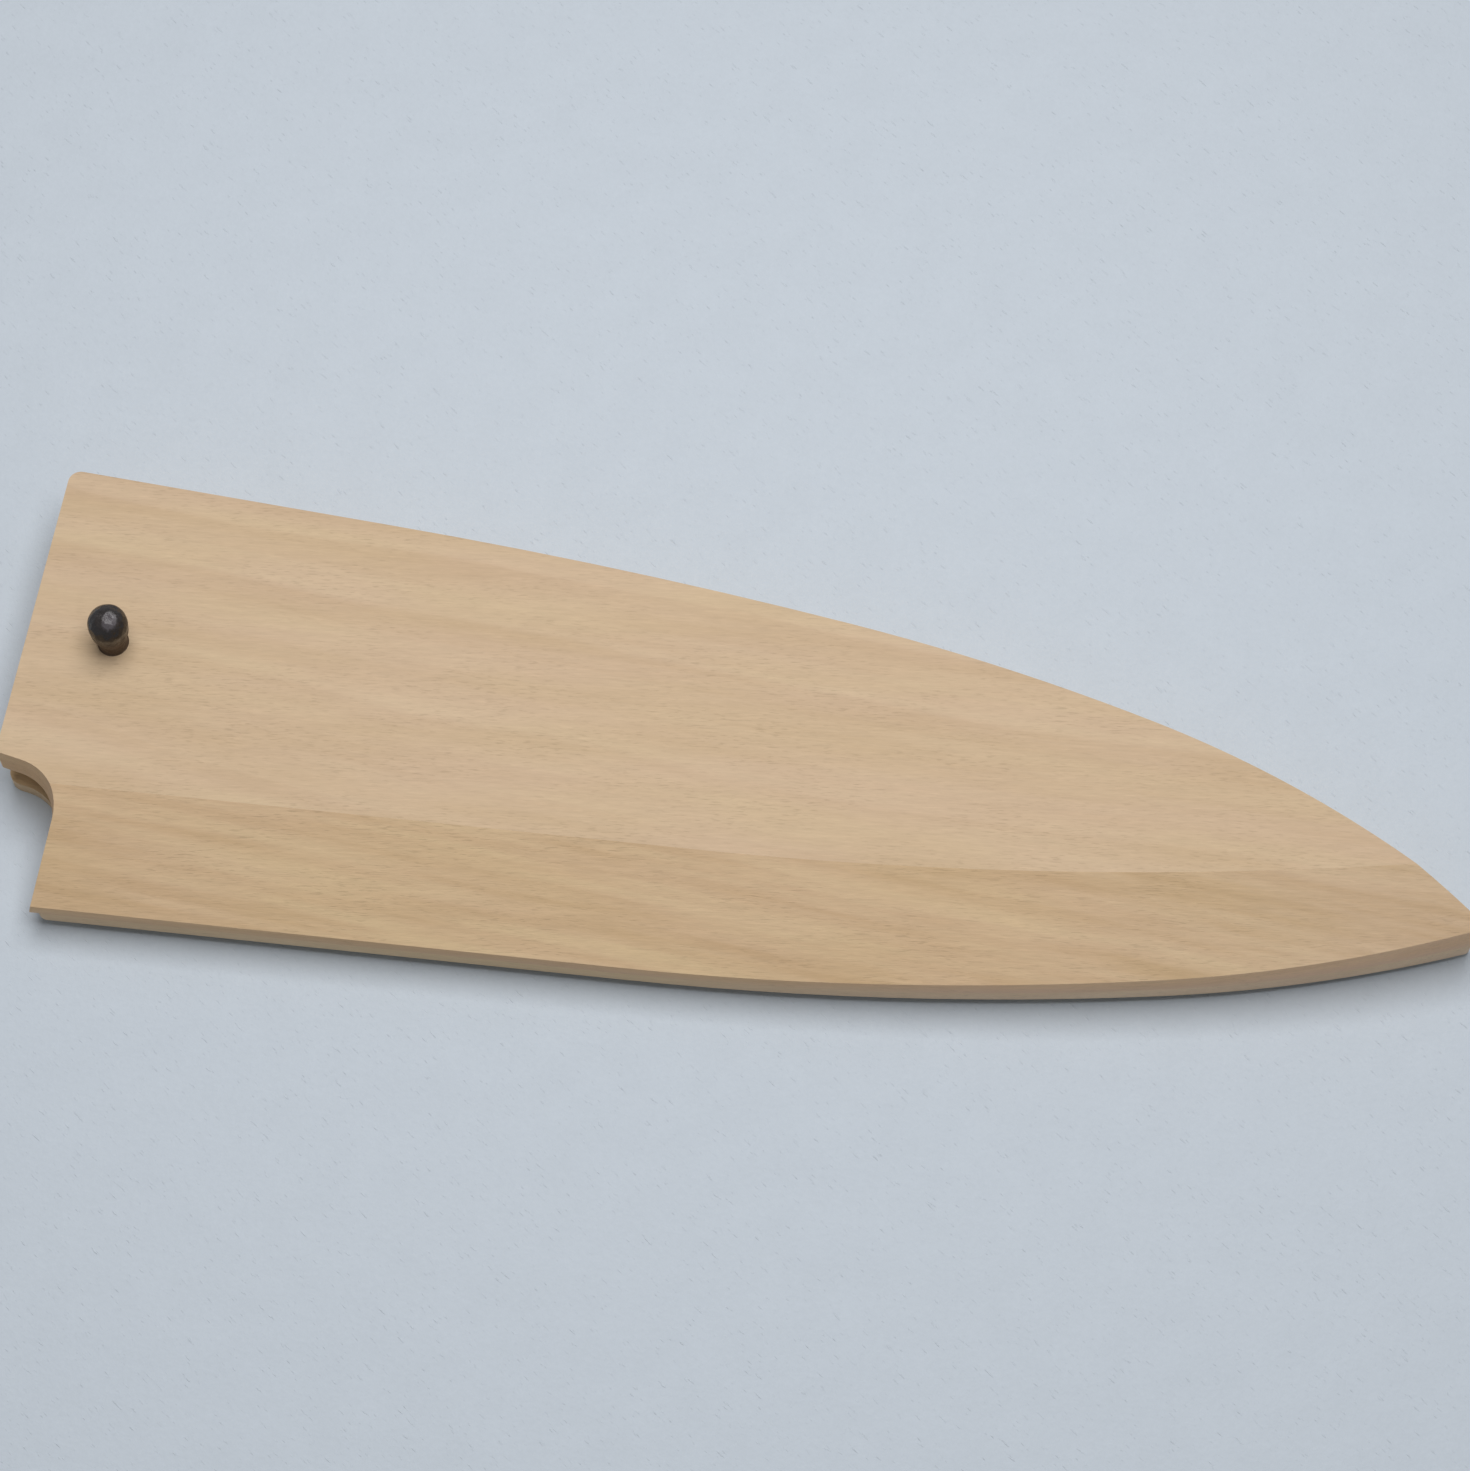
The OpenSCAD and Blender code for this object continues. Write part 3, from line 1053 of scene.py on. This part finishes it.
    def surface(self) -> tuple[np.ndarray, list[list[int]]]:
        """Sweep the half section round the axis.

        A point's radius is its profile's radius less the depth of the knife's flats. They are
        the product of an uneven wave round the axis and a winding wave up it, grow from nothing
        above the face, and only ever take wood away, so the head stays inside its solid. Within
        a millimetre of the axis they fade out.

        Returns:
            Points in metres, and faces that look outwards.
        """
        rows = self.profile()
        angle = np.linspace(0.0, 2.0 * math.pi, self.columns, endpoint=False)
        radius, height = rows[:, :1], rows[:, 1:]
        grow = np.clip((height - self.face - self.flats_start) / self.flats_grow, 0.0, 1.0)
        flat_count, unevenness, uneven_count = 7.0, 1.3, 2.0
        per_height, winding = 1.9, 3.0
        around = np.cos(flat_count * angle + unevenness * np.sin(uneven_count * angle))[None, :]
        upwards = 1.0 + np.sin(per_height * height + winding * angle)
        flats = self.flat_depth * grow * (0.5 + 0.25 * around * upwards)
        wide = (radius - flats * np.clip(radius, 0.0, 1.0)) * MM
        ring = np.stack([self.axis[0] * MM + wide * np.cos(angle),
                         self.axis[1] * MM + wide * np.sin(angle),
                         np.broadcast_to(height * MM, wide.shape)], axis=-1).reshape(-1, 3)
        poles = np.array([[*self.axis, self.low[2]], [*self.axis, self.high[2]]]) * MM
        count = len(rows)
        index = np.arange(count * self.columns).reshape(count, self.columns)
        beside = np.roll(index, -1, axis=1)
        walls = np.stack([index[:-1], beside[:-1], beside[1:], index[1:]], axis=-1).reshape(-1, 4)
        foot = np.stack([beside[0], index[0], np.full(self.columns, index.size)], axis=-1)
        crown = np.stack([index[-1], beside[-1], np.full(self.columns, index.size + 1)], axis=-1)
        return np.vstack([ring, poles]), walls.tolist() + foot.tolist() + crown.tolist()

    def build(self, finish: bpy.types.Material) -> bpy.types.Object:
        """Make the pin and let it stand for its solid.

        Args:
            finish: The dark wood.

        Returns:
            The finished piece.
        """
        points, faces = self.surface()
        mesh = bpy.data.meshes.new("turned_pin")
        mesh.from_pydata(points, [], faces)
        mesh.validate()
        mesh.shade_smooth()
        mesh.materials.append(finish)
        piece = placed("turned_pin", mesh)
        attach(piece, "pin")
        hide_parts(self.node)
        LOG.info("%s: %d faces", piece.name, len(mesh.polygons))
        return piece


# Stage

@dataclass
class Studio:
    """The table, the soft overhead light and the camera.

    Attributes:
        room: Colour of the room as the camera and gloss see it.
        table_size: Side of the table, in metres.
        table_gap: Gap between the sheath and the table, in millimetres.
        lamp_size: Side of the square overhead lamp, in metres.
        lamp_place: Middle of the lamp, in metres.
        lamp_power: Power of the lamp, in watts.
        fill_size: Side of the smaller lamp on the camera's side, in metres.
        fill_place: Middle of that lamp, in metres.
        fill_power: Power of that lamp, in watts.
        lamp_colour: Linear colour of both lamps.
        sky: Brightness of the room all round.
        pitch: Angle of the view below level, in degrees.
        heading: Turn of the picture's right side from X, in degrees.
        distance: Distance from the camera to the middle of the view, in metres.
        middle: Point that the picture's middle shows, in millimetres.
        lens: Focal length, in millimetres.
        sensor: Width of the sensor, in millimetres.
        nearest: Distance from which the camera sees things, in metres.
    """
    room: Colour
    table_size: float = 8.0
    table_gap: float = 0.02
    lamp_size: float = 0.40
    lamp_place: Triple = (-0.02, 0.11, 0.55)
    lamp_power: float = 2.44
    fill_size: float = 0.13
    fill_place: Triple = (0.087, -0.031, 0.54)
    fill_power: float = 0.27
    lamp_colour: Triple = (1.0, 0.995, 0.985)
    sky: float = 0.20
    pitch: float = 68.0
    heading: float = 10.74
    distance: float = 0.6414
    middle: Triple = (-2.63, 9.34, 13.5)
    lens: float = 112.3
    sensor: float = 36.0
    nearest: float = 0.01

    def build(self, table_top: bpy.types.Material) -> None:
        """Set up the table, the lamps, the room and the camera.

        Args:
            table_top: The table's material.
        """
        self._table(table_top)
        self._lamp("overhead_lamp", self.lamp_size, self.lamp_place, self.lamp_power)
        self._lamp("fill_lamp", self.fill_size, self.fill_place, self.fill_power)
        self._room()
        self._camera()

    def _table(self, table_top: bpy.types.Material) -> None:
        """Lay the table top just under the sheath.

        Args:
            table_top: Its material.
        """
        half, level = self.table_size / 2.0, -self.table_gap * MM
        corners = [(x * half, y * half, level) for x, y in ((-1, -1), (1, -1), (1, 1), (-1, 1))]
        mesh = bpy.data.meshes.new("table_top")
        mesh.from_pydata(corners, [], [(0, 1, 2, 3)])
        mesh.materials.append(table_top)
        table = placed("table_top", mesh)

    def _lamp(self, name: str, size: float, place: Triple, power: float) -> None:
        """Hang a square lamp, facing the sheath.

        Args:
            name: Name of the lamp.
            size: Its side, in metres.
            place: Its middle, in metres.
            power: Its power, in watts.
        """
        light = bpy.data.lights.new(name, "AREA")
        light.shape = "SQUARE"
        light.size = size
        light.energy = power
        light.color = self.lamp_colour
        lamp = placed(name, light)
        lamp.location = place
        lamp.rotation_euler = (-Vector(place)).to_track_quat("-Z", "Y").to_euler()

    def _room(self) -> None:
        """Give the room its dim light, and the pale colour that the camera and gloss see in it."""
        world = bpy.data.worlds.new("room")
        world.use_nodes = True
        sheet = Sheet("room", world)
        background = "ShaderNodeBackground"
        dim = sheet.node(background, sockets={"Color": WHITE, "Strength": self.sky})
        pale = sheet.node(background, sockets={"Color": self.room, "Strength": 1.0})
        mixed = sheet.node("ShaderNodeMixShader", sockets={0: sheet.seen(), 1: dim, 2: pale})
        sheet.node_output(mixed, "ShaderNodeOutputWorld")
        bpy.context.scene.world = world

    def _camera(self) -> None:
        """Put the camera at the photograph's angle and distance."""
        pitch, heading = math.radians(self.pitch), math.radians(self.heading)
        right = Vector((math.cos(heading), math.sin(heading), 0.0))
        ahead = Vector((-math.sin(heading) * math.cos(pitch),
                        math.cos(heading) * math.cos(pitch),
                        -math.sin(pitch)))
        up = right.cross(ahead)
        turn = Matrix((right, up, -ahead)).transposed()
        data = bpy.data.cameras.new("camera")
        data.lens = self.lens
        data.sensor_width = self.sensor
        data.clip_start = self.nearest
        camera = placed("camera", data)
        place = Vector(self.middle) * MM - ahead * self.distance
        camera.matrix_world = Matrix.Translation(place) @ turn.to_4x4()
        bpy.context.scene.camera = camera
        bpy.context.scene.view_settings.view_transform = "Standard"


FRONT_WOOD = SawnWood(
    name="front board wood",
    stops=(
        (0.16, linear(184, 157, 125)),
        (0.36, linear(196, 169, 138)),
        (0.50, linear(203, 177, 148)),
        (0.64, linear(208, 184, 154)),
        (0.84, linear(213, 189, 156))),
    band_tint=(1.035, 1.00, 0.925),
    # the upright sides' factor is painted light that brightens them
    wall_light_tint=(1.10, 1.05, 1.05),
    end_tint=(0.84, 0.82, 0.82),
    pith=(-49.0, 87.0),
    pith_angles=(0.6, 0.4),
    ring=3.1,
    fibres_heading=(8.0, 9.0),
    bands_heading=(3.0, -1.5),
    drift=(31.0, 12.0, 5.0))

BACK_WOOD = SawnWood(
    name="back board wood",
    stops=(
        (0.18, linear(192, 166, 132)),
        (0.40, linear(203, 179, 146)),
        (0.58, linear(209, 187, 155)),
        (0.82, linear(215, 194, 162))),
    band_tint=(1.0, 0.99, 0.95),
    # the upright sides' factor is painted light that brightens them
    wall_light_tint=(1.08, 1.04, 1.03),
    end_tint=(0.84, 0.82, 0.80),
    pith=(38.0, -74.0),
    pith_angles=(-0.5, 1.1),
    ring=3.6,
    fibres_heading=(2.0, 1.0),
    bands_heading=(-1.0, -4.0),
    drift=(-57.0, 83.0, 41.0))

PIN_WOOD = DarkPinWood(
    name="dark pin wood",
    dark=linear(34, 27, 23),
    worn=linear(100, 86, 74),
    # the side's brown is partly painted reflection of the pale boards
    side=linear(80, 62, 46),
    # the rubbed patch is partly a painted highlight
    scuffed_and_highlight=linear(88, 82, 85),
    scuff_highlight_place=(0.77, -0.62, 2.67))

ROOM = linear(196, 204, 214)
TABLE_TOP = PlainTable(name="table top", colour=linear(199, 208, 218), room=ROOM)

# Depth of the blade's hollow in each board, in millimetres
BACK_HOLLOW, FRONT_HOLLOW = 2.2, 2.35


def main() -> None:
    """Build the pieces and the studio."""
    logging.basicConfig(level=logging.INFO, format="%(name)s: %(message)s")
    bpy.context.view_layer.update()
    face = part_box("front_board")[1][2] / MM
    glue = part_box("back_board")[1][2] / MM
    hollow = (glue - BACK_HOLLOW, glue + FRONT_HOLLOW)
    Board("front_board", "front_wood", glue, hollow).build(FRONT_WOOD.build(glue))
    Board("back_board", "back_wood", glue, hollow).build(BACK_WOOD.build(glue))
    pin = TurnedPin(face=face)
    pin.build(PIN_WOOD.build(pin.axis, pin.dome_z))
    Studio(room=ROOM).build(TABLE_TOP.build())


if __name__ == "__main__":
    main()
